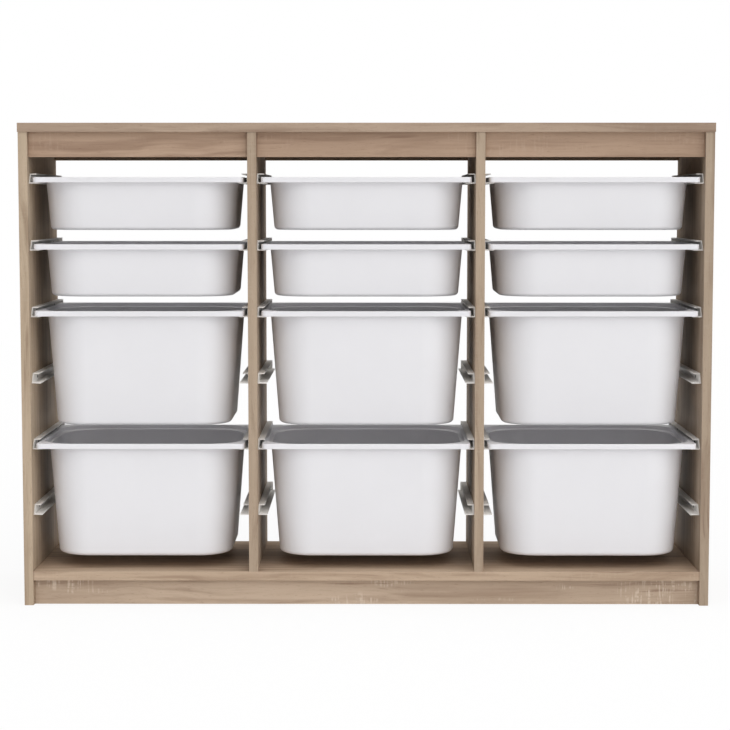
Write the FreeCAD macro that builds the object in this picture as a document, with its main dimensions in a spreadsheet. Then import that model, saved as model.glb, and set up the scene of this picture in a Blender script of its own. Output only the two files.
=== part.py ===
import FreeCAD, Part
import math
import os
import Sketcher

# A free-standing toy storage unit: an oak-finish carcass with three bays, plastic C-rails on
# every upright, and twelve moulded bins that hang in the rails by their rims.
#
# Frame: millimetres, +Z up, +X to the viewer's right, the open front towards -Y.
# Origin: on the floor, at the centre of the footprint.

os.makedirs("parts", exist_ok=True)
doc = FreeCAD.newDocument("toy_storage")

# ---------------------------------------------------------------- driving dimensions
SIZES = {
    # carcass boards
    "board": 18,                # thickness of every board
    "bay_width": 436,           # clear width between two uprights
    "depth": 350,               # uprights and base shelf, front to back
    "upright_top": 950,         # height of the uprights' top edge
    "top_side_overhang": 1,     # top panel past each side
    "top_front_overhang": 2,    # top panel past the front edges
    "plinth_height": 51,
    "plinth_recess": 15,        # plinth boards behind the front and rear edges
    "apron_height": 49,         # front aprons and rear stretchers under the top
    "apron_recess": 12,         # apron behind the uprights' front edges
    # rails
    "rail_levels": 6,
    "level_pitch": 133.3,       # from one rail to the next
    "lowest_rail": 182,         # underside of the lowest rail above the floor
    "rail_height": 20,
    "rail_wall": 2.2,
    "rail_lower_reach": 18.5,   # the flange that carries a bin's rim
    "rail_upper_reach": 13,     # the flange that stops a bin from tipping
    "rail_front_recess": 16,
    "rail_front_slant": 14,     # how much further back the upper flange starts
    "rail_rear_recess": 6,
    # bins
    "rim_width": 419,
    "rim_length": 338,
    "rim_height": 10.5,
    "rim_corner": 10,
    "rim_front_recess": 2,      # rim behind the uprights' front edges
    "mouth_side_margin": 8.5,   # flat top of the rim at the sides
    "mouth_end_margin": 3,      # flat top of the rim at front and back
    "mouth_corner": 70,
    "ledge_depth": 8.5,         # lid ledge below the rim's top
    "ledge_width": 8,
    "bin_wall": 2.2,
    "shallow_depth": 105,       # rim top to underside
    "shallow_draft": 5.1,       # degrees
    "shallow_corner": 58,       # inside corners, a mean of the wide top and the narrower foot
    "deep_depth": 232,
    "deep_draft": 4.4,          # degrees
    "deep_corner": 54,
}

sheet = doc.addObject("Spreadsheet::Sheet", "sizes")
for row, (alias, value) in enumerate(SIZES.items(), start=1):
    sheet.set(f"A{row}", alias)
    sheet.set(f"B{row}", str(value))
    sheet.setAlias(f"B{row}", alias)
doc.recompute()

BAYS = {"left_bay": -1, "centre_bay": 0, "right_bay": 1}   # bay name: pitches from the middle
SHALLOW_LEVELS = (1, 2)                                    # levels count from the top
DEEP_LEVELS = (3, 5)
RAIL_GROUPS = ((1, 2), (3, 4), (5, 6))                     # rails that share one file

# places worked out from the sheet, as expressions
BAY_PITCH = "(sizes.bay_width + sizes.board)"
HALF_CARCASS = "(1.5 * sizes.bay_width + 2 * sizes.board)"
HALF_DEPTH = "((sizes.depth + sizes.top_front_overhang) / 2)"
FRONT = f"({HALF_DEPTH} * -1 + sizes.top_front_overhang)"
REAR = HALF_DEPTH
SHELF_TOP = "(sizes.plinth_height + sizes.board)"

sub_parts = []


def place(thing, x="0", y="0", z="0"):
    """Bind the sub-part's position to three expressions."""
    thing.setExpression("Placement.Base.x", x)
    thing.setExpression("Placement.Base.y", y)
    thing.setExpression("Placement.Base.z", z)


# ---------------------------------------------------------------- boards
def board(label, across, deep, tall, x, y, z):
    """A straight-edged board, from its size and its lowest corner, all as expressions."""
    panel = doc.addObject("Part::Box", label)
    panel.Label = label
    panel.setExpression("Length", across)
    panel.setExpression("Width", deep)
    panel.setExpression("Height", tall)
    place(panel, x, y, z)
    sub_parts.append(panel)


def make_carcass():
    """Top, four uprights, base shelf, plinth frame, aprons and rear stretchers."""
    inner_width = "(3 * sizes.bay_width + 2 * sizes.board)"
    board("top_panel",
          f"2 * ({HALF_CARCASS} + sizes.top_side_overhang)", f"2 * {HALF_DEPTH}", "sizes.board",
          f"-({HALF_CARCASS} + sizes.top_side_overhang)", f"-{HALF_DEPTH}", "sizes.upright_top")
    board("left_side", "sizes.board", "sizes.depth", "sizes.upright_top",
          f"-{HALF_CARCASS}", FRONT, "0")
    board("right_side", "sizes.board", "sizes.depth", "sizes.upright_top",
          f"{HALF_CARCASS} - sizes.board", FRONT, "0")
    for name, x in (("left_divider", "-(sizes.bay_width / 2 + sizes.board)"),
                    ("right_divider", "sizes.bay_width / 2")):
        board(name, "sizes.board", "sizes.depth", f"sizes.upright_top - {SHELF_TOP}",
              x, FRONT, SHELF_TOP)
    board("base_shelf", inner_width, "sizes.depth", "sizes.board",
          f"-{inner_width} / 2", FRONT, "sizes.plinth_height")
    board("front_plinth", inner_width, "sizes.board", "sizes.plinth_height",
          f"-{inner_width} / 2", f"{FRONT} + sizes.plinth_recess", "0")
    board("rear_plinth", inner_width, "sizes.board", "sizes.plinth_height",
          f"-{inner_width} / 2", f"{REAR} - sizes.plinth_recess - sizes.board", "0")
    for bay, step in BAYS.items():
        x = f"{step} * {BAY_PITCH} - sizes.bay_width / 2"
        z = "sizes.upright_top - sizes.apron_height"
        board(f"{bay}_apron", "sizes.bay_width", "sizes.board", "sizes.apron_height",
              x, f"{FRONT} + sizes.apron_recess", z)
        board(f"{bay}_rear_stretcher", "sizes.bay_width", "sizes.board", "sizes.apron_height",
              x, f"{REAR} - sizes.board", z)


# ---------------------------------------------------------------- sketch helpers
def new_body(label):
    body = doc.addObject("PartDesign::Body", label)
    body.Label = label
    body.AllowCompound = True
    return body


def origin_part(body, role):
    """One of the body's own origin planes or axes."""
    return next(o for o in body.Origin.OriginFeatures if o.Role == role)


def new_sketch(body, name, plane, lift="0"):
    """An empty sketch on one of the body's own origin planes, lifted along that plane's normal."""
    sketch = body.newObject("Sketcher::SketchObject", f"{body.Name}_{name}")
    sketch.AttachmentSupport = [(origin_part(body, plane), "")]
    sketch.MapMode = "FlatFace"
    sketch.setExpression("AttachmentOffset.Base.z", lift)
    return sketch


def name_dimension(sketch, constraint, alias, expression):
    """Add a size to the sketch, give it a name and bind it to an expression."""
    index = sketch.addConstraint(constraint)
    sketch.renameConstraint(index, alias)
    sketch.setExpression(f"Constraints.{alias}", expression)


def size_of(alias):
    return float(SIZES[alias])


def polygon(sketch, points):
    """A closed outline of upright and level edges whose first point is the sketch's origin."""
    first = sketch.GeometryCount
    count = len(points)
    for i, point in enumerate(points):
        after = points[(i + 1) % count]
        sketch.addGeometry(Part.LineSegment(FreeCAD.Vector(*point, 0), FreeCAD.Vector(*after, 0)))
    for i, point in enumerate(points):
        after = points[(i + 1) % count]
        edge = first + i
        sketch.addConstraint(Sketcher.Constraint("Coincident", edge, 2, first + (i + 1) % count, 1))
        if point[1] == after[1]:
            sketch.addConstraint(Sketcher.Constraint("Horizontal", edge))
        elif point[0] == after[0]:
            sketch.addConstraint(Sketcher.Constraint("Vertical", edge))
    return first


def rectangle(sketch, wide, long):
    """A sharp-cornered rectangle about the origin."""
    half_w = size_of("rim_width") / 2
    half_l = size_of("rim_length") / 2
    first = polygon(sketch, [(-half_w, -half_l), (half_w, -half_l), (half_w, half_l),
                             (-half_w, half_l)])
    sketch.addConstraint(Sketcher.Constraint("Symmetric", first, 1, first + 2, 1, -1, 1))
    name_dimension(sketch, Sketcher.Constraint("Distance", first, 2 * half_w), "wide", wide)
    name_dimension(sketch, Sketcher.Constraint("Distance", first + 1, 2 * half_l), "long", long)


def rounded_rectangle(sketch, prefix, wide, long, corner, start):
    """A rectangle with round corners about the origin; start holds its sizes before solving."""
    half_w = start[0] / 2
    half_l = start[1] / 2
    radius = start[2]
    cx = half_w - radius
    cy = half_l - radius
    straights = (((-cx, -half_l), (cx, -half_l)), ((half_w, -cy), (half_w, cy)),
                 ((cx, half_l), (-cx, half_l)), ((-half_w, cy), (-half_w, -cy)))
    centres = ((cx, -cy), (cx, cy), (-cx, cy), (-cx, -cy))
    first = sketch.GeometryCount
    for i in range(4):
        begin, end = straights[i]
        angle = math.radians(90 * (i - 1))
        circle = Part.Circle(FreeCAD.Vector(*centres[i], 0), FreeCAD.Vector(0, 0, 1), radius)
        sketch.addGeometry(Part.LineSegment(FreeCAD.Vector(*begin, 0), FreeCAD.Vector(*end, 0)))
        sketch.addGeometry(Part.ArcOfCircle(circle, angle, angle + math.pi / 2))
    for i in range(4):
        line = first + 2 * i
        arc = line + 1
        following = first + (2 * i + 2) % 8
        sketch.addConstraint(Sketcher.Constraint("Tangent", line, 2, arc, 1))
        sketch.addConstraint(Sketcher.Constraint("Tangent", arc, 2, following, 1))
        sketch.addConstraint(Sketcher.Constraint("Vertical" if i % 2 else "Horizontal", line))
        if i:
            sketch.addConstraint(Sketcher.Constraint("Equal", first + 1, arc))
    sketch.addConstraint(Sketcher.Constraint("Symmetric", first + 1, 3, first + 5, 3, -1, 1))
    name_dimension(sketch, Sketcher.Constraint("DistanceX", first + 6, 1, first + 2, 1, start[0]),
                   f"{prefix}_wide", wide)
    name_dimension(sketch, Sketcher.Constraint("DistanceY", first, 1, first + 4, 1, start[1]),
                   f"{prefix}_long", long)
    name_dimension(sketch, Sketcher.Constraint("Radius", first + 1, radius),
                   f"{prefix}_corner", corner)


def pad(body, sketch, length, name, reverse=False):
    """Raise the sketch into a solid."""
    feature = body.newObject("PartDesign::Pad", f"{body.Name}_{name}")
    feature.Profile = sketch
    feature.Reversed = reverse
    feature.setExpression("Length", length)
    doc.recompute()
    return feature


def pocket(body, sketch, length, name, both_ways=False):
    """Cut the sketch into the body, and stop if the cut missed the solid."""
    before = body.Shape.Volume
    feature = body.newObject("PartDesign::Pocket", f"{body.Name}_{name}")
    feature.Profile = sketch
    feature.Midplane = both_ways
    feature.setExpression("Length", length)
    doc.recompute()
    if feature.Shape.Volume > before - 1:
        raise RuntimeError(f"{feature.Name} cuts nothing")
    return feature


def lean(body, base, low, high, angle, name, reverse):
    """Lean the four upright faces that run from height low to height high inwards, downwards."""
    names = []
    for i, face in enumerate(base.Shape.Faces, start=1):
        heights = sorted(vertex.Z for vertex in face.Vertexes)
        if abs(heights[0] - low) < 0.01 and abs(heights[-1] - high) < 0.01:
            names.append(f"Face{i}")
    if len(names) != 4:
        raise RuntimeError(f"{body.Name}: {len(names)} upright faces found")
    feature = body.newObject("PartDesign::Draft", f"{body.Name}_{name}")
    feature.Base = (base, names)
    feature.NeutralPlane = (origin_part(body, "XY_Plane"), [""])
    feature.Reversed = reverse
    feature.setExpression("Angle", angle)
    doc.recompute()
    return feature


def round_corners(body, base, low, high, radius, name):
    """Round the four leaning corner edges that run from height low to height high."""
    names = []
    for i, edge in enumerate(base.Shape.Edges, start=1):
        ends = sorted(vertex.Z for vertex in edge.Vertexes)
        if abs(ends[0] - low) < 0.01 and abs(ends[-1] - high) < 0.01:
            names.append(f"Edge{i}")
    if len(names) != 4:
        raise RuntimeError(f"{body.Name}: {len(names)} corner edges found")
    feature = body.newObject("PartDesign::Fillet", f"{body.Name}_{name}")
    feature.Base = (base, names)
    feature.setExpression("Radius", radius)
    doc.recompute()
    return feature


# ---------------------------------------------------------------- rails
def make_rails(label, hand, levels, x):
    """Identical C-rails on one upright's face, one at each level, opening into the bay.

    hand is +1 where the rail reaches towards +X and -1 where it reaches towards -X. The local
    origin is the front, lower corner on the upright's face.
    """
    body = new_body(label)
    low = size_of("rail_lower_reach") * hand
    high = size_of("rail_upper_reach") * hand
    wall = size_of("rail_wall")
    tall = size_of("rail_height")
    length = "(sizes.depth - sizes.rail_front_recess - sizes.rail_rear_recess)"

    outline = new_sketch(body, "outline", "XZ_Plane")
    polygon(outline, [(0, 0), (low, 0), (low, wall), (high, wall), (high, tall), (0, tall)])
    outline.addConstraint(Sketcher.Constraint("Coincident", 0, 1, -1, 1))
    for edge, alias, size in ((0, "lower_reach", "sizes.rail_lower_reach"),
                              (1, "lower_wall", "sizes.rail_wall"),
                              (4, "upper_reach", "sizes.rail_upper_reach"),
                              (5, "tall", "sizes.rail_height")):
        start = SIZES[size.split(".")[1]]
        name_dimension(outline, Sketcher.Constraint("Distance", edge, start), alias, size)
    pad(body, outline, length, "bar", reverse=True)

    # the channel stops short of the rear end, where its end wall stops the bin's rim
    channel = new_sketch(body, "channel", "XZ_Plane")
    inner = wall * hand
    polygon(channel, [(inner, wall), (high, wall), (high, tall - wall), (inner, tall - wall)])
    name_dimension(channel, Sketcher.Constraint("Distance", 0, abs(high - inner)),
                   "reach", "sizes.rail_upper_reach - sizes.rail_wall")
    name_dimension(channel, Sketcher.Constraint("Distance", 1, tall - 2 * wall),
                   "clear_height", "sizes.rail_height - 2 * sizes.rail_wall")
    name_dimension(channel, Sketcher.Constraint("Distance", 0, 1, -2, wall),
                   "from_face", "sizes.rail_wall")
    name_dimension(channel, Sketcher.Constraint("DistanceY", -1, 1, 0, 1, wall),
                   "from_foot", "sizes.rail_wall")
    pocket(body, channel, f"{length} - sizes.rail_wall", "channel_cut")

    # slanted front end: the lower flange leads, so that a rim finds it first
    slant = new_sketch(body, "slant", "YZ_Plane")
    reach = size_of("rail_front_slant")
    polygon(slant, [(0, wall), (reach, tall), (0, tall)])
    slant.addConstraint(Sketcher.Constraint("PointOnObject", 0, 1, -2))
    name_dimension(slant, Sketcher.Constraint("DistanceY", -1, 1, 0, 1, wall),
                   "from_foot", "sizes.rail_wall")
    name_dimension(slant, Sketcher.Constraint("Distance", 1, reach),
                   "reach", "sizes.rail_front_slant")
    name_dimension(slant, Sketcher.Constraint("Distance", 2, tall - wall),
                   "rise", "sizes.rail_height - sizes.rail_wall")
    pocket(body, slant, "4 * sizes.rail_lower_reach", "slant_cut", both_ways=True)

    pattern = body.newObject("PartDesign::LinearPattern", f"{label}_levels")
    pattern.TransformMode = "Whole shape"
    pattern.Direction = (origin_part(body, "Z_Axis"), [""])
    pattern.setExpression("Length", f"{levels[-1] - levels[0]} * sizes.level_pitch")
    pattern.Occurrences = len(levels)
    body.Tip = pattern
    place(body, x, f"{FRONT} + sizes.rail_front_recess",
          f"sizes.lowest_rail + (sizes.rail_levels - {levels[-1]}) * sizes.level_pitch")
    sub_parts.append(body)


def make_all_rails():
    for bay, step in BAYS.items():
        middle = f"{step} * {BAY_PITCH}"
        for levels in RAIL_GROUPS:
            numbers = "_".join(str(level) for level in levels)
            make_rails(f"{bay}_left_rails_{numbers}", 1, levels,
                       f"{middle} - sizes.bay_width / 2")
            make_rails(f"{bay}_right_rails_{numbers}", -1, levels,
                       f"{middle} + sizes.bay_width / 2")


# ---------------------------------------------------------------- bins
def make_bin(label, kind, x, level):
    """One moulded bin: a drafted tub with round corners under a rim that holds a lid ledge.

    Kind is shallow or deep. The local origin is in the middle of the rim's underside, where it
    sits on the rails.
    """
    body = new_body(label)
    depth = f"{kind}_depth"
    draft = f"sizes.{kind}_draft"
    corner = f"sizes.{kind}_corner"
    rim_wide = size_of("rim_width")
    rim_long = size_of("rim_length")
    inside_wide = "(sizes.rim_width - 2 * sizes.mouth_side_margin - 2 * sizes.ledge_width)"
    inside_long = "(sizes.rim_length - 2 * sizes.mouth_end_margin - 2 * sizes.ledge_width)"

    foot = size_of("rim_height") - size_of(depth)
    ledge = size_of("rim_height") - size_of("ledge_depth")

    outside = new_sketch(body, "outside", "XY_Plane")
    rectangle(outside, f"{inside_wide} + 2 * sizes.bin_wall", f"{inside_long} + 2 * sizes.bin_wall")
    pad(body, outside, f"sizes.{depth} - sizes.rim_height", "tub", reverse=True)

    rim = new_sketch(body, "rim", "XY_Plane")
    rounded_rectangle(rim, "rim", "sizes.rim_width", "sizes.rim_length", "sizes.rim_corner",
                      (rim_wide, rim_long, size_of("rim_corner")))
    pad(body, rim, "sizes.rim_height", "rim_block")

    # inside and outside lean alike, so that the wall stays even down to the floor
    inside = new_sketch(body, "inside", "XY_Plane", "sizes.rim_height - sizes.ledge_depth")
    rectangle(inside, inside_wide, inside_long)
    tub = pocket(body, inside, f"sizes.{depth} - sizes.ledge_depth - sizes.bin_wall", "cavity")
    tub = lean(body, tub, foot + size_of("bin_wall"), ledge, draft, "inside_lean", reverse=False)
    tub = lean(body, tub, foot, 0, draft, "outside_lean", reverse=True)
    tub = round_corners(body, tub, foot + size_of("bin_wall"), ledge, corner, "inner_corners")
    round_corners(body, tub, foot, 0, f"{corner} + sizes.bin_wall", "outer_corners")

    # the mouth opens the rim down to the ledge round the inside
    mouth = new_sketch(body, "mouth", "XY_Plane", "sizes.rim_height")
    rounded_rectangle(mouth, "mouth",
                      "sizes.rim_width - 2 * sizes.mouth_side_margin",
                      "sizes.rim_length - 2 * sizes.mouth_end_margin",
                      "sizes.mouth_corner", (rim_wide, rim_long, size_of("mouth_corner")))
    pocket(body, mouth, "sizes.ledge_depth", "mouth_cut")

    place(body, x, f"{FRONT} + sizes.rim_front_recess + sizes.rim_length / 2",
          f"sizes.lowest_rail + (sizes.rail_levels - {level}) * sizes.level_pitch + sizes.rail_wall")
    sub_parts.append(body)


def make_all_bins():
    for bay, step in BAYS.items():
        x = f"{step} * {BAY_PITCH}"
        for level in SHALLOW_LEVELS:
            make_bin(f"{bay}_shallow_bin_{level}", "shallow", x, level)
        for level in DEEP_LEVELS:
            make_bin(f"{bay}_deep_bin_{level}", "deep", x, level)


make_carcass()
make_all_rails()
make_all_bins()
doc.recompute()

# ---------------------------------------------------------------- checks, then the files
for thing in doc.Objects:
    if "Invalid" in thing.State or "Error" in thing.State:
        raise RuntimeError(f"{thing.Name} failed: {thing.State}")
for thing in sub_parts:
    if thing.Shape.isNull() or not thing.Shape.isValid():
        raise RuntimeError(f"{thing.Label} has no valid shape")
for thing in sub_parts:
    thing.Shape.exportStep(f"parts/{thing.Label}.step")
    box = thing.Shape.BoundBox
    print(f"{thing.Label}: {len(thing.Shape.Solids)} solid(s), "
          f"{box.XLength:.1f} x {box.YLength:.1f} x {box.ZLength:.1f} mm")
print(f"{len(sub_parts)} sub-parts written")
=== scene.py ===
# %% [markdown]
# # A toy storage unit with bins, dressed for a photograph
#
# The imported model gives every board, rail and bin its exact place. This script keeps the boards,
# gives them a wood finish, and builds finer surfaces for the moulded plastic: bins with soft
# edges and a lipped rim, and rails with rounded flanges and screws.

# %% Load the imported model
import math
import bpy
import numpy as np
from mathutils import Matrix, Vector


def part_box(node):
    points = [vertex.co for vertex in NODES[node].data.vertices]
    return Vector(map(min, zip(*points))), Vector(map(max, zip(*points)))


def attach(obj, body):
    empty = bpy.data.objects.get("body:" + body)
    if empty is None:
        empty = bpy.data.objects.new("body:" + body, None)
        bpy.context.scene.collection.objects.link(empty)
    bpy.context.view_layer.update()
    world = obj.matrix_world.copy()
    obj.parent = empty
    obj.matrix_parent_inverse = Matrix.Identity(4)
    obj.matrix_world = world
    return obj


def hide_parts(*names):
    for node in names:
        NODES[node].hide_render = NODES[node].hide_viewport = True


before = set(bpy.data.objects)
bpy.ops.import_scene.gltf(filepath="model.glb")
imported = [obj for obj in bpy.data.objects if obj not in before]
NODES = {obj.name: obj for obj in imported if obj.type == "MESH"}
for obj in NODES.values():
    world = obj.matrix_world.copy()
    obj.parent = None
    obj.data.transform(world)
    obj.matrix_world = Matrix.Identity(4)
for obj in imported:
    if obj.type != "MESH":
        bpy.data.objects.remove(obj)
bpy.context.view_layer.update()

BOARDS = sorted(n for n in NODES if "rails" not in n and "bin" not in n)
RAILS = sorted(n for n in NODES if "rails" in n)
BINS = sorted(n for n in NODES if "bin" in n)
print(len(BOARDS), "boards,", len(RAILS), "pairs of rails,", len(BINS), "bins")

# %% [markdown]
# ## Small tools for shader nodes
#
# A material is a graph of nodes. Writing each link by hand takes many lines, so one helper adds a
# node, sets its fields and connects whatever is handed to its sockets. The others are written with
# it, and every finish below is a few calls of them.

# %% Helpers for shader nodes


def add(tree, kind, *inputs, **fields):
    """Add a node of that kind; inputs go to its sockets in order, None leaves one alone.

    A number or tuple becomes the socket's value and an output socket becomes a link. Fields
    are properties of the node, such as operation or blend_type.
    """
    node = tree.nodes.new("ShaderNode" + kind)
    for name, value in fields.items():
        setattr(node, name, value)
    sockets = [s for s in node.inputs if s.enabled]
    for socket, value in zip(sockets, inputs):
        if isinstance(value, bpy.types.NodeSocket):
            tree.links.new(value, socket)
        elif value is not None:
            socket.default_value = value
    return node


def math_node(tree, operation, *values):
    """The result of that arithmetic on one, two or three values."""
    return add(tree, "Math", *values, operation=operation).outputs[0]


def stretched(tree, vector, scale):
    """The coordinates multiplied by a different number on each axis."""
    return add(tree, "VectorMath", vector, scale, operation="MULTIPLY").outputs[0]


def noise(tree, vector, scale, detail, roughness=0.5):
    """A noise value around one half, with about that many waves in a metre."""
    node = add(tree, "TexNoise")
    tree.links.new(vector, node.inputs["Vector"])
    for name, value in (("Scale", scale), ("Detail", detail), ("Roughness", roughness)):
        node.inputs[name].default_value = value
    return node.outputs[0]


def grain_noise(tree, vector, along, across, detail, roughness=0.5):
    """Noise with that many waves in a metre along the grain and across it."""
    return noise(tree, stretched(tree, vector, (along, across, across)), 1.0, detail, roughness)


def remap(tree, value, low, high, to_low=0.0, to_high=1.0):
    """Stretch the range low..high to to_low..to_high and clip what lies outside."""
    return add(tree, "MapRange", value, low, high, to_low, to_high).outputs[0]


def mix_color(tree, factor, first, second, blend="MIX"):
    """The first colour at factor 0 and the second at factor 1."""
    node = add(tree, "Mix", data_type="RGBA", blend_type=blend)
    for name, value in (("Factor", factor), ("A", first), ("B", second)):
        socket = next(s for s in node.inputs if s.enabled and s.name == name)
        if isinstance(value, bpy.types.NodeSocket):
            tree.links.new(value, socket)
        else:
            socket.default_value = value
    return next(s for s in node.outputs if s.enabled)


def linear(red, green, blue):
    """A colour as a screen shows it, 0 to 255, turned into the renderer's linear light."""
    channels = []
    for value in (red, green, blue):
        share = value / 255
        channels.append(share / 12.92 if share <= 0.04045 else ((share + 0.055) / 1.055) ** 2.4)
    return (*channels, 1.0)


def group(name, inputs, outputs):
    """An empty node group with those sockets, each given as (name, type)."""
    tree = bpy.data.node_groups.new(name, "ShaderNodeTree")
    for title, kind in inputs:
        tree.interface.new_socket(title, in_out="INPUT", socket_type="NodeSocket" + kind)
    for title, kind in outputs:
        tree.interface.new_socket(title, in_out="OUTPUT", socket_type="NodeSocket" + kind)
    return tree, tree.nodes.new("NodeGroupInput"), tree.nodes.new("NodeGroupOutput")


def new_material(name):
    """A material with its node tree and its Principled shader."""
    material = bpy.data.materials.new(name)
    material.use_nodes = True
    tree = material.node_tree
    return material, tree, tree.nodes["Principled BSDF"]


def add_relief(tree, shader, height, strength, distance):
    """Small bumps in the surface; distance is how high they would be at full strength."""
    bump = add(tree, "Bump")
    bump.inputs["Strength"].default_value = strength
    bump.inputs["Distance"].default_value = distance
    tree.links.new(height, bump.inputs["Height"])
    tree.links.new(bump.outputs[0], shader.inputs["Normal"])


def add_output(tree, kind, shader):
    """Send a shader to the tree's output node, OutputMaterial or OutputWorld."""
    output = add(tree, kind)
    tree.links.new(shader, output.inputs["Surface"])


# %% [markdown]
# ## Oak-finish board
#
# The boards are chipboard covered with a printed oak pattern. The print shows long streaks along
# the board, wider cloudy bands, fine dark pores, and short pale marks across the grain like
# the tracks of a saw. One node group draws all of that from the object coordinates. Each board
# shifts the coordinates by its own amount, because no two boards are cut from the same place.

# %% The oak pattern as a node group
OAK_LIGHT = linear(194, 172, 149)
OAK_MIDDLE = linear(180, 158, 136)
OAK_DARK = linear(150, 126, 106)
# the colour of the veins and pores, also used for the painted shade in the butt joints
OAK_VEIN_AND_JOINT_SHADE = linear(128, 100, 82)
OAK_PALE_MARK = linear(208, 191, 171)
GRAIN_SWAY = 0.05
# painted shade along the butt joints: how far from each end it reaches, and how dark it gets
JOINT_SHADE_WIDE = 0.003
JOINT_SHADE_DARK = 0.7


def oak_group():
    """Colour and height of the print; the grain runs along the group's own X axis.

    Marks says how strongly the pale saw tracks show on that board.
    """
    tree, start, end = group("oak_print", [("Vector", "Vector"), ("Marks", "Float")],
                             [("Color", "Color"), ("Height", "Float")])
    where = start.outputs["Vector"]
    # the grain wanders a few centimetres sideways along the board
    sway = noise(tree, stretched(tree, where, (1.4, 3.0, 3.0)), 2.0, 2.0)
    sideways = math_node(tree, "MULTIPLY", sway, GRAIN_SWAY)
    shift = add(tree, "CombineXYZ", 0.0, sideways, sideways)
    bent = add(tree, "VectorMath", where, shift.outputs[0], operation="ADD").outputs[0]

    clouds = grain_noise(tree, bent, 1.7, 15.0, 3.0, 0.55)
    streaks = grain_noise(tree, bent, 2.4, 62.0, 3.0, 0.6)
    veins = grain_noise(tree, bent, 4.5, 110.0, 2.0, 0.55)
    threads = grain_noise(tree, bent, 9.0, 380.0, 2.0, 0.6)
    pores = grain_noise(tree, bent, 70.0, 900.0, 1.0)

    # bands of lighter wood, dark and light streaks, veins where the band is dark, fine threads
    color = mix_color(tree, remap(tree, clouds, 0.38, 0.62), OAK_MIDDLE, OAK_LIGHT)
    color = mix_color(tree, remap(tree, streaks, 0.48, 0.74, 0.0, 0.8), color, OAK_DARK)
    color = mix_color(tree, remap(tree, streaks, 0.44, 0.30, 0.0, 0.5), color, OAK_LIGHT)
    near_vein = math_node(tree, "MULTIPLY", remap(tree, veins, 0.62, 0.74),
                          remap(tree, clouds, 0.56, 0.44, 0.0, 0.6))
    color = mix_color(tree, near_vein, color, OAK_VEIN_AND_JOINT_SHADE)
    color = mix_color(tree, remap(tree, threads, 0.55, 0.8, 0.0, 0.3), color, OAK_DARK)
    color = mix_color(tree, remap(tree, pores, 0.66, 0.74, 0.0, 0.35), color, OAK_VEIN_AND_JOINT_SHADE)

    # pale tracks across the grain, in patches, each broken along its length
    tracks = grain_noise(tree, where, 240.0, 22.0, 1.5)
    patches = grain_noise(tree, where, 6.5, 26.0, 2.0)
    breaks = grain_noise(tree, where, 60.0, 140.0, 1.0)
    marks = math_node(tree, "MULTIPLY", remap(tree, tracks, 0.5, 0.62),
                      remap(tree, patches, 0.53, 0.62))
    marks = math_node(tree, "MULTIPLY", marks, remap(tree, breaks, 0.36, 0.52))
    marks = math_node(tree, "MULTIPLY", marks, start.outputs["Marks"])
    color = mix_color(tree, marks, color, OAK_PALE_MARK)

    height = math_node(tree, "SUBTRACT", math_node(tree, "MULTIPLY", threads, 0.4),
                       remap(tree, pores, 0.62, 0.74))
    tree.links.new(color, end.inputs["Color"])
    tree.links.new(height, end.inputs["Height"])
    return tree


OAK = oak_group()
print("oak print of", len(OAK.nodes), "nodes")


def oak_material(name, grain, offset, tint, marks, ends):
    """The oak print on one board; grain is the axis that the streaks follow.

    Ends are the x of the board's two butt joints: the last millimetres there are darkened with
    painted shade, which stands for the shadow in the joint line. None leaves them plain.
    """
    material, tree, shader = new_material(name)
    place = add(tree, "TexCoord").outputs["Object"]
    moved = add(tree, "VectorMath", place, offset, operation="ADD").outputs[0]
    x, y, z = add(tree, "SeparateXYZ", moved).outputs
    turned = {"X": (x, y, z), "Z": (z, x, y)}[grain]
    along = add(tree, "CombineXYZ", *turned).outputs[0]
    print_node = tree.nodes.new("ShaderNodeGroup")
    print_node.node_tree = OAK
    tree.links.new(along, print_node.inputs["Vector"])
    print_node.inputs["Marks"].default_value = marks
    tinted = mix_color(tree, 1.0, print_node.outputs["Color"], (*tint, 1.0), "MULTIPLY")
    # painted shade: the board darkens towards each butt joint, standing in for the joint's shadow
    if ends:
        across = add(tree, "SeparateXYZ", place).outputs[0]
        inset = math_node(tree, "MINIMUM", math_node(tree, "SUBTRACT", across, ends[0]),
                          math_node(tree, "SUBTRACT", ends[1], across))
        joint_shade = remap(tree, inset, 0.0, JOINT_SHADE_WIDE, JOINT_SHADE_DARK, 0.0)
        tinted = mix_color(tree, joint_shade, tinted, OAK_VEIN_AND_JOINT_SHADE)
    tree.links.new(tinted, shader.inputs["Base Color"])
    rough = remap(tree, print_node.outputs["Height"], -1.0, 0.4, 0.68, 0.56)
    tree.links.new(rough, shader.inputs["Roughness"])
    shader.inputs["Specular IOR Level"].default_value = 0.12
    add_relief(tree, shader, print_node.outputs["Height"], 0.25, 0.0002)
    return material


# %% Dress the boards
UPRIGHTS = ("left_side", "right_side", "left_divider", "right_divider")
EDGE_ROUND = 0.0006
BOARD_TINTS = {"apron": (0.92, 0.85, 0.84), "plinth": (1.08, 1.10, 1.14),
               "top_panel": (0.86, 0.85, 0.88), "left_side": (0.99, 1.02, 1.02),
               "right_side": (0.84, 0.86, 0.88), "divider": (0.91, 0.93, 0.95),
               "base_shelf": (1.03, 1.02, 1.02)}
PLAIN_TINT = (1.0, 1.0, 1.0)
SAW_MARKS = {"apron": 0.2, "plinth": 0.75, "top_panel": 0.1}
FEW_MARKS = 0.12
PRINT_SHIFT = (0.37, 0.61, 0.23)      # how far each board's print lies from the last one's


def soften(obj, width):
    """Round the edges a little, so that they catch light as real edges do."""
    bevel = obj.modifiers.new("soft_edges", "BEVEL")
    bevel.width = width
    bevel.segments = 2
    bevel.limit_method = "ANGLE"
    bevel.harden_normals = True


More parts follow.
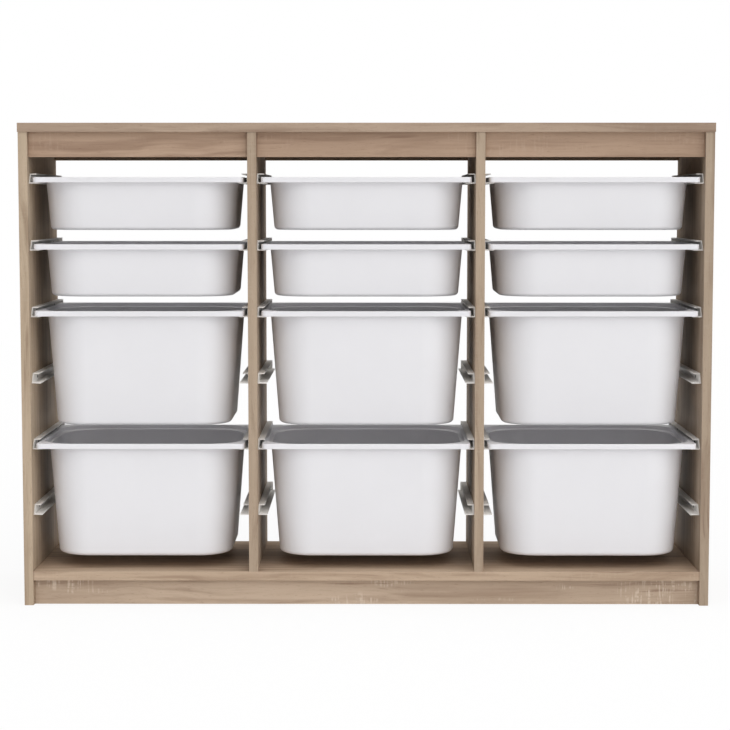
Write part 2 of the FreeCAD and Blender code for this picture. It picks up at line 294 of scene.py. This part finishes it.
def board_look(name):
    """The tint of one board's print, and how strongly its saw tracks show."""
    tint = next((t for part, t in BOARD_TINTS.items() if part in name), PLAIN_TINT)
    marks = next((m for part, m in SAW_MARKS.items() if part in name), FEW_MARKS)
    return tint, marks


for index, name in enumerate(BOARDS):
    board = NODES[name]
    grain = "Z" if name in UPRIGHTS else "X"
    offset = tuple(step * index for step in PRINT_SHIFT)
    tint, marks = board_look(name)
    board.data.materials.clear()
    low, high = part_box(name)
    ends = None if name in UPRIGHTS or name == "top_panel" else (low.x, high.x)
    board.data.materials.append(oak_material("oak_" + name, grain, offset, tint, marks, ends))
    soften(board, EDGE_ROUND)
print("boards dressed:", ", ".join(BOARDS))

# %% [markdown]
# ## Moulded plastic
#
# Bins and rails are white moulded plastic with a satin skin. Light goes a little way into such
# plastic, so it gets a small subsurface share. A very fine unevenness in the skin breaks up the
# highlights, and a slight cloudiness keeps large faces from looking painted.

# %% The plastic finish
CLOUDINESS = 0.02            # the share by which the darker clouds are darker
LIGHT_SHARE = 0.3            # how much of the light goes into the plastic
LIGHT_DEPTH = 0.004          # and how far it spreads there
SHINE_VARIES = 0.04


def plastic_material(name, color, roughness):
    """White plastic of that colour: cloudy, uneven in its shine and finely grained."""
    material, tree, shader = new_material(name)
    place = add(tree, "TexCoord").outputs["Object"]
    clouds = noise(tree, place, 6.0, 3.0)
    darker = (*(channel * (1 - CLOUDINESS) for channel in color[:3]), 1.0)
    tint = mix_color(tree, remap(tree, clouds, 0.35, 0.65), darker, color)
    tree.links.new(tint, shader.inputs["Base Color"])
    grain = noise(tree, place, 900.0, 2.0)
    rough = remap(tree, noise(tree, place, 40.0, 3.0), 0.3, 0.7, roughness - SHINE_VARIES,
                  roughness + SHINE_VARIES)
    tree.links.new(rough, shader.inputs["Roughness"])
    shader.inputs["Subsurface Weight"].default_value = LIGHT_SHARE
    shader.inputs["Subsurface Radius"].default_value = (1.0, 1.0, 1.0)
    shader.inputs["Subsurface Scale"].default_value = LIGHT_DEPTH
    add_relief(tree, shader, grain, 0.08, 0.0002)
    return material


BIN_WHITE = plastic_material("bin_white", linear(237, 236, 239), 0.42)
RAIL_WHITE = plastic_material("rail_white", linear(242, 239, 234), 0.38)
print("plastics:", BIN_WHITE.name, "and", RAIL_WHITE.name)

# %% [markdown]
# ## Bins
#
# A bin is one skin of plastic: up the outside, round the rim, and down the inside. Every level
# cut through it is a rectangle with round corners. So the surface is built from rings: each ring
# is such a rectangle, grown or shrunk by an offset, at some height. Stacking the rings along the
# wall's profile gives the whole bin, and a soft edge is just a few rings along a small arc.

# %% Rings of a rounded rectangle
CORNER_STEPS = 14


def ring_points(wide, long, corner):
    """Points of a rounded rectangle and the direction that each one faces, in its own plane.

    Each corner is a quarter circle of CORNER_STEPS + 1 points; the straight sides join them.
    """
    angles = np.linspace(0, math.pi / 2, CORNER_STEPS + 1)
    points = []
    facing = []
    for quarter, (sx, sy) in enumerate(((1, 1), (-1, 1), (-1, -1), (1, -1))):
        turn = angles + quarter * math.pi / 2
        direction = np.stack([np.cos(turn), np.sin(turn)], axis=1)
        centre = np.array([sx * (wide / 2 - corner), sy * (long / 2 - corner)])
        points.append(centre + corner * direction)
        facing.append(direction)
    return np.concatenate(points), np.concatenate(facing)


def ring_faces(rings, count):
    """Quads that join each ring of count points to the next one, as rows of point numbers."""
    first = np.arange(rings - 1)[:, None] * count
    here = first + np.arange(count)
    after = first + np.roll(np.arange(count), -1)
    return np.stack([here, after, after + count, here + count], axis=2).reshape(-1, 4)


def make_object(name, points, faces, material):
    """A smooth mesh object from an array of points and faces that list point numbers."""
    mesh = bpy.data.meshes.new(name)
    mesh.from_pydata(points.tolist(), [], faces)
    mesh.update()
    mesh.shade_smooth()
    mesh.materials.append(material)
    obj = bpy.data.objects.new(name, mesh)
    bpy.context.scene.collection.objects.link(obj)
    return obj


def ring_stack(name, rings, centre, material):
    """One closed skin from a list of rings (wide, long, corner, height, outward, upward).

    Outward and upward are the surface's direction at that ring. Quads join each ring to the
    next, and a flat face closes the first ring and the last.
    """
    coordinates = []
    normals = []
    for wide, long, corner, height, outward, upward in rings:
        flat, facing = ring_points(wide, long, corner)
        level = np.full((len(flat), 1), height)
        coordinates.append(np.hstack([flat, level]) + np.array(centre))
        normals.append(np.hstack([facing * outward, np.full((len(flat), 1), upward)]))
    count = len(coordinates[0])
    last = (len(rings) - 1) * count
    faces = ring_faces(len(rings), count).tolist()
    faces.append(list(range(count - 1, -1, -1)))
    faces.append(list(range(last, last + count)))
    obj = make_object(name, np.concatenate(coordinates), faces, material)
    obj.data.normals_split_custom_set_from_vertices(np.concatenate(normals).tolist())
    return obj


def arc_rings(wide, long, corner, height, radius, first, last, steps, hollow=False):
    """Rings along a small arc of the profile, whose centre lies at that outline and height.

    Angles are in degrees: 0 points outwards and 90 up. A hollow arc is seen from its inside.
    """
    rings = []
    side = -1 if hollow else 1
    for angle in np.radians(np.linspace(first, last, steps + 1)):
        out = radius * math.cos(angle)
        rings.append((wide + 2 * out, long + 2 * out, corner + out,
                      height + radius * math.sin(angle),
                      side * math.cos(angle), side * math.sin(angle)))
    return rings


# %% The profile of one bin
RIM_CORNER = 0.010
RIM_HEIGHT = 0.0105
MOUTH_CORNER = 0.070
MOUTH_SIDE = 0.0085          # from the rim's outer edge to the mouth, at the sides
MOUTH_END = 0.003            # and at the front and back
LEDGE_DEEP = 0.0085
LEDGE_WIDE = 0.008
TUB_CORNER = 0.084           # of the inside face, level with the rim's underside
WALL = 0.0022
EDGE_RADIUS = 0.0009         # of the rim's and the mouth's edges
RIM_ROOT = 0.0015            # radius where the tub's wall meets the rim's underside
LEDGE_ROOT = 0.0012          # radius where the ledge meets the mouth's wall
FOOT_ROUND = 0.008
FLOOR_ROUND = 0.006
EDGE_STEPS = 3
FOOT_STEPS = 7
FLOOR_MIDDLE = 0.9           # the floor's flat face starts at this share of its size


def bin_rings(rim_wide, rim_long, depth, draft):
    """The rings from the middle of the underside, round the rim, to the middle of the floor.

    Height 0 is the rim's top edge. The wall leans by the draft angle, in degrees.
    """
    lean = math.tan(math.radians(draft))
    mouth_wide = rim_wide - 2 * MOUTH_SIDE
    mouth_long = rim_long - 2 * MOUTH_END
    inside_wide = mouth_wide - 2 * LEDGE_WIDE
    inside_long = mouth_long - 2 * LEDGE_WIDE
    under_rim = -RIM_HEIGHT
    foot = -depth
    floor = foot + WALL

    def tub(outset, height):
        """Outline of the tub's wall at a height, moved out from the inside face."""
        out = outset + (height - under_rim) * lean
        return inside_wide + 2 * out, inside_long + 2 * out, TUB_CORNER + out

    # underside and foot
    wide, long, corner = tub(WALL - FOOT_ROUND, foot + FOOT_ROUND)
    rings = [(wide, long, corner, foot, 0, -1)]
    rings += arc_rings(wide, long, corner, foot + FOOT_ROUND, FOOT_ROUND, -85, -draft, FOOT_STEPS)
    # up the outside to the rim's underside
    wide, long, corner = tub(WALL + RIM_ROOT, under_rim - RIM_ROOT)
    rings += arc_rings(wide, long, corner, under_rim - RIM_ROOT, RIM_ROOT, 180 + draft, 90,
                       EDGE_STEPS, hollow=True)
    # rim: lower edge, outer face, top edge
    outline = (rim_wide - 2 * EDGE_RADIUS, rim_long - 2 * EDGE_RADIUS, RIM_CORNER - EDGE_RADIUS)
    rings += arc_rings(*outline, under_rim + EDGE_RADIUS, EDGE_RADIUS, -90, 0, EDGE_STEPS)
    rings += arc_rings(*outline, -EDGE_RADIUS, EDGE_RADIUS, 0, 90, EDGE_STEPS)
    # mouth edge and the ledge below it
    rings += arc_rings(mouth_wide + 2 * EDGE_RADIUS, mouth_long + 2 * EDGE_RADIUS,
                       MOUTH_CORNER + EDGE_RADIUS, -EDGE_RADIUS, EDGE_RADIUS, 90, 180, EDGE_STEPS)
    rings += arc_rings(mouth_wide - 2 * LEDGE_ROOT, mouth_long - 2 * LEDGE_ROOT,
                       MOUTH_CORNER - LEDGE_ROOT, -LEDGE_DEEP + LEDGE_ROOT, LEDGE_ROOT, 0, -90,
                       EDGE_STEPS, hollow=True)
    wide, long, corner = tub(EDGE_RADIUS, -LEDGE_DEEP - EDGE_RADIUS)
    rings += arc_rings(wide, long, corner, -LEDGE_DEEP - EDGE_RADIUS, EDGE_RADIUS, 90, 180 - draft,
                       EDGE_STEPS)
    # down the inside to the floor
    wide, long, corner = tub(-FLOOR_ROUND, floor + FLOOR_ROUND)
    rings += arc_rings(wide, long, corner, floor + FLOOR_ROUND, FLOOR_ROUND, -draft, -90,
                       FOOT_STEPS, hollow=True)
    middle = (wide * FLOOR_MIDDLE, long * FLOOR_MIDDLE, corner * FLOOR_MIDDLE)
    rings.append((*middle, floor, 0, 1))
    return rings


# %% Build the twelve bins
BIN_KINDS = {"shallow": (0.105, 5.1), "deep": (0.232, 4.4)}      # depth and draft angle

for name in BINS:
    low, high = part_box(name)
    depth, draft = BIN_KINDS["deep" if "deep" in name else "shallow"]
    middle = ((low.x + high.x) / 2, (low.y + high.y) / 2, high.z)
    rings = bin_rings(high.x - low.x, high.y - low.y, depth, draft)
    tub = ring_stack(name + "_moulding", rings, middle, BIN_WHITE)
    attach(tub, name)
    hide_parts(name)
print(len(BINS), "bins of", len(rings), "rings each")

# %% [markdown]
# ## Rails
#
# Each rail is a moulded strip with a C-shaped section: a web on the board, a wide lower flange
# that carries the bin's rim, and a narrower upper flange that keeps the bin level. The surface
# is the section drawn once and pushed along the rail. Its front end leans back, so every point
# of the section starts a little later the higher it is. A stop closes the rear end of the channel.

# %% Rails from their section
RAIL_WALL = 0.0022
RAIL_LOW = 0.0185
RAIL_HIGH = 0.013
RAIL_TALL = 0.020
RAIL_SLANT = 0.014
RAIL_ROUND = 0.0005
STOP_SUNK = 0.0002           # how far the rear stop reaches into the section around it


def section_loop(outline, radius):
    """A closed outline of right angles, counter-clockwise, with every corner rounded.

    Each corner's arc has its centre where both edges are one radius away. Returns the points
    and the direction that each one faces.
    """
    points = []
    facing = []
    count = len(outline)
    angles = np.linspace(0, math.pi / 2, EDGE_STEPS + 1)[:, None]
    for i in range(count):
        here = np.array(outline[i])
        back = np.array(outline[i - 1]) - here
        ahead = np.array(outline[(i + 1) % count]) - here
        back = back / np.linalg.norm(back)
        ahead = ahead / np.linalg.norm(ahead)
        turns_left = ahead[0] * back[1] - ahead[1] * back[0] > 0
        centre = here + (back + ahead) * radius
        spokes = -(np.cos(angles) * ahead + np.sin(angles) * back)
        points.append(centre + spokes * radius)
        facing.append(spokes if turns_left else -spokes)
    return np.concatenate(points), np.concatenate(facing)


def box_mesh(low, high):
    """Points, faces and directions of a box with four points of its own on every side."""
    limits = np.array([low, high])
    points = []
    normals = []
    for axis in range(3):
        one, two = [a for a in range(3) if a != axis]
        for end in (0, 1):
            corners = np.zeros((4, 3))
            corners[:, axis] = limits[end, axis]
            corners[:, one] = limits[[0, 1, 1, 0], one]
            corners[:, two] = limits[[0, 0, 1, 1], two]
            outward = np.zeros(3)
            outward[axis] = 1 if end else -1
            turn = np.cross(corners[1] - corners[0], corners[2] - corners[1])
            points.append(corners if turn @ outward > 0 else corners[::-1])
            normals.append(np.tile(outward, (4, 1)))
    return np.concatenate(points), np.arange(24).reshape(6, 4), np.concatenate(normals)


def rail_mesh(face_x, hand, bottoms, front, rear):
    """Points, faces and directions of the rails at those heights on one upright's face.

    The skin joins the section at the front to the same section at the rear. From the lower
    flange's top to the rail's top, the front end lies further back in proportion to the height.
    """
    inner_top = RAIL_TALL - RAIL_WALL
    outline = [(0, 0), (RAIL_LOW, 0), (RAIL_LOW, RAIL_WALL), (RAIL_WALL, RAIL_WALL),
               (RAIL_WALL, inner_top), (RAIL_HIGH, inner_top), (RAIL_HIGH, RAIL_TALL),
               (0, RAIL_TALL)]
    section, facing = section_loop(outline, RAIL_ROUND)
    across, up = section.T
    count = len(section)
    ends = (front + RAIL_SLANT * np.clip((up - RAIL_WALL) / inner_top, 0, 1), np.full(count, rear))
    sides = np.stack([hand * facing[:, 0], np.zeros(count), facing[:, 1]], axis=1)
    skin = ring_faces(2, count)
    coordinates = []
    normals = []
    faces = []
    for bottom in bottoms:
        base = sum(len(c) for c in coordinates)
        loops = [np.stack([face_x + hand * across, end, bottom + up], axis=1) for end in ends]
        # the ends have points of their own, so that their edges stay crisp
        coordinates += loops + loops
        normals += [sides, sides]
        normals += [np.tile([0.0, outward, 0.0], (count, 1)) for outward in (-1.0, 1.0)]
        front_cap = np.arange(base + 2 * count, base + 3 * count)
        rear_cap = front_cap + count
        faces += (base + (skin[:, ::-1] if hand > 0 else skin)).tolist()
        faces += [front_cap[::hand].tolist(), rear_cap[::-hand].tolist()]
        # the rear stop closes the channel between the two flanges
        reach = sorted((face_x + hand * (RAIL_WALL - STOP_SUNK), face_x + hand * RAIL_HIGH))
        points, squares, outward = box_mesh(
            (reach[0], rear - RAIL_WALL, bottom + RAIL_WALL - STOP_SUNK),
            (reach[1], rear - STOP_SUNK, bottom + inner_top + STOP_SUNK))
        faces += (base + 4 * count + squares).tolist()
        coordinates.append(points)
        normals.append(outward)
    return np.concatenate(coordinates), faces, np.concatenate(normals)


def rail_side(name):
    """The x of the upright's face that a pair of rails is on, and +1 if they reach towards +X."""
    low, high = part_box(name)
    return (low.x, 1) if "_left_rails" in name else (high.x, -1)


for name in RAILS:
    low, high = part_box(name)
    face_x, hand = rail_side(name)
    bottoms = (low.z, high.z - RAIL_TALL)
    coordinates, faces, normals = rail_mesh(face_x, hand, bottoms, low.y, high.y)
    rail = make_object(name + "_moulding", coordinates, faces, RAIL_WHITE)
    rail.data.normals_split_custom_set_from_vertices(normals.tolist())
    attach(rail, "carcass")
    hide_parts(name)
print(len(RAILS), "pairs of rails")

# %% [markdown]
# ## Rail screws
#
# A rail like this one is held by small steel screws through its web. The photograph hides them, so
# two in each rail, their places and their heads are a guess. A head is a shallow dome with a
# six-sided socket. It is built from rings like the bins: those of the dome are circles, and those
# of the socket have six flat sides.

# %% Steel for the screws
STEEL_DARK = linear(150, 150, 148)
STEEL_LIGHT = linear(186, 186, 184)

STEEL, tree, shader = new_material("screw_steel")
place = add(tree, "TexCoord").outputs["Object"]
wear = noise(tree, place, 400.0, 3.0)
tint = mix_color(tree, remap(tree, wear, 0.35, 0.65), STEEL_DARK, STEEL_LIGHT)
tree.links.new(tint, shader.inputs["Base Color"])
shader.inputs["Metallic"].default_value = 1.0
tree.links.new(remap(tree, wear, 0.3, 0.7, 0.26, 0.42), shader.inputs["Roughness"])
add_relief(tree, shader, noise(tree, place, 2500.0, 2.0), 0.1, 0.0001)

# %% Turn the screw heads
SCREW_RADIUS = 0.0034
SCREW_HIGH = 0.0013
SOCKET_RADIUS = 0.0014
SCREW_PLACES = (-0.105, 0.115)      # along Y
SCREW_STEPS = 24
SHARP_ANGLE = 35


def screw_head():
    """Points (along, up, out) and faces of one head that stands on the web, where out is 0.

    The dome is an arc of an ellipse. A circle becomes six-sided where its radius is multiplied
    by cos 30 / cos(angle from the middle of the nearest side).
    """
    angles = np.arange(SCREW_STEPS) * 2 * math.pi / SCREW_STEPS
    sixth = np.mod(angles, math.pi / 3) - math.pi / 6
    six_sided = math.cos(math.pi / 6) / np.cos(sixth)
    dome = [(SCREW_RADIUS * math.cos(a), SCREW_HIGH * math.sin(a))
            for a in np.radians((0, 22, 45, 62))]
    socket = [(SOCKET_RADIUS * 1.08, SCREW_HIGH), (SOCKET_RADIUS, SCREW_HIGH * 0.9),
              (SOCKET_RADIUS, SCREW_HIGH * 0.2), (0.0001, SCREW_HIGH * 0.15)]
    rings = [(radius, out, np.ones(SCREW_STEPS)) for radius, out in dome]
    rings += [(radius, out, six_sided) for radius, out in socket]
    points = [np.stack([radius * shape * np.cos(angles), radius * shape * np.sin(angles),
                        np.full(SCREW_STEPS, out)], axis=1) for radius, out, shape in rings]
    last = (len(rings) - 1) * SCREW_STEPS
    faces = ring_faces(len(rings), SCREW_STEPS).tolist()
    faces.append(list(range(last, last + SCREW_STEPS)))
    return np.concatenate(points), faces


head, head_faces = screw_head()
for name in RAILS:
    low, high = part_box(name)
    face_x, hand = rail_side(name)
    coordinates = []
    faces = []
    for bottom in (low.z, high.z - RAIL_TALL):
        for along in SCREW_PLACES:
            base = len(head) * len(coordinates)
            coordinates.append(np.stack([face_x + hand * (RAIL_WALL + head[:, 2]),
                                         along + head[:, 0],
                                         bottom + RAIL_TALL / 2 + head[:, 1]], axis=1))
            faces += [[base + i for i in face[::hand]] for face in head_faces]
    screws = make_object(name + "_screws", np.concatenate(coordinates), faces, STEEL)
    screws.data.set_sharp_from_angle(angle=math.radians(SHARP_ANGLE))
    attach(screws, "carcass")
print(len(RAILS) * 4, "screw heads")

# %% [markdown]
# ## Floor, backdrop and light
#
# The photograph has a plain white ground, and light that comes from everywhere in front: bright
# from above, even from the front, a little stronger from the right, and none from behind, since
# the inner faces of the side boards sink into brown shade. A world whose strength depends on the
# direction gives that soft light without a single hard shadow. Only the camera sees it as white.

# %% The world as a soft studio tent
WHITE = (1.0, 1.0, 1.0, 1.0)
DIAGONAL = math.sqrt(0.5)
TENT = (                                  # towards, strength, how narrow
    ((0, 0, 1), 0.95, 1.0),                   # from above
    ((1, 0, 0), 0.28, 1.0),                   # from the right
    ((DIAGONAL, -DIAGONAL, 0), 0.93, 4.0),    # from the front right
    ((0, -DIAGONAL, DIAGONAL), 0.95, 4.0),    # from the front above
)

world = bpy.data.worlds.new("studio")
bpy.context.scene.world = world
world.use_nodes = True
tree = world.node_tree
tree.nodes.clear()
sky = add(tree, "TexCoord").outputs["Generated"]      # in a world, the direction looked in
strength = 0.0
for towards, amount, narrow in TENT:
    along = add(tree, "VectorMath", sky, towards, operation="DOT_PRODUCT").outputs["Value"]
    share = math_node(tree, "POWER", math_node(tree, "MAXIMUM", along, 0.0), narrow)
    strength = math_node(tree, "MULTIPLY_ADD", share, amount, strength)
path = add(tree, "LightPath")
seen = add(tree, "Background", WHITE, 1.0)
tent = add(tree, "Background", WHITE, strength)
mixer = add(tree, "MixShader", path.outputs["Is Camera Ray"], tent.outputs[0], seen.outputs[0])
add_output(tree, "OutputWorld", mixer.outputs[0])

# %% [markdown]
# The floor is white paper that throws light back up at the unit. The camera sees it mostly as
# plain white, like the backdrop, with a share of its real shading, which keeps the shadow.

# %% The floor
FLOOR_HALF = 7.0             # half the paper's width
FLOOR_SHADOW = 0.15          # the share of real shading that the camera sees
PAPER = (0.86, 0.86, 0.86, 1.0)

corners = np.array([(-1, -1, 0), (1, -1, 0), (1, 1, 0), (-1, 1, 0)]) * FLOOR_HALF
paper = bpy.data.materials.new("floor_paper")
paper.use_nodes = True
tree = paper.node_tree
tree.nodes.clear()
lit = add(tree, "BsdfDiffuse", PAPER).outputs[0]
glow = add(tree, "Emission", WHITE, 1.0).outputs[0]
shaded = add(tree, "BsdfDiffuse", WHITE).outputs[0]
seen = add(tree, "MixShader", FLOOR_SHADOW, glow, shaded).outputs[0]
path = add(tree, "LightPath")
shown = add(tree, "MixShader", path.outputs["Is Camera Ray"], lit, seen)
add_output(tree, "OutputMaterial", shown.outputs[0])
floor = make_object("studio_floor", corners, [[0, 1, 2, 3]], paper)
print("world of", len(TENT), "soft lights over", 2 * FLOOR_HALF, "m of paper")

# %% A large soft lamp in front


def area_lamp(name, place, target, size, power):
    """A rectangular lamp at a place, turned towards a target."""
    data = bpy.data.lights.new(name, "AREA")
    data.shape = "RECTANGLE"
    data.size, data.size_y = size
    data.energy = power
    lamp = bpy.data.objects.new(name, data)
    lamp.location = place
    lamp.rotation_euler = (Vector(target) - Vector(place)).to_track_quat("-Z", "Y").to_euler()
    bpy.context.scene.collection.objects.link(lamp)


area_lamp("front_level", (0.0, -4.5, 0.7), (0.0, 0.0, 0.5), (3.0, 1.5), 3.0)
print("one lamp of 3 x 1.5 m")

# %% Camera
# it stands 4 m in front of the unit's middle, lower than its top, and looks slightly down
LENS = 94.67                 # mm; fitted to the photograph, like the place and the angles
PLACE = (0.0109, -3.9954, 0.8123)
LOOKS_DOWN = 4.86
LOOKS_LEFT = 0.2

camera_data = bpy.data.cameras.new("camera")
camera_data.sensor_width = 36
camera_data.lens = LENS
camera = bpy.data.objects.new("camera", camera_data)
camera.location = PLACE
camera.rotation_euler = (math.radians(90 - LOOKS_DOWN), 0, math.radians(LOOKS_LEFT))
bpy.context.scene.collection.objects.link(camera)
bpy.context.scene.camera = camera
bpy.context.scene.view_settings.view_transform = "Standard"
print("camera", round(-PLACE[1], 1), "m in front")
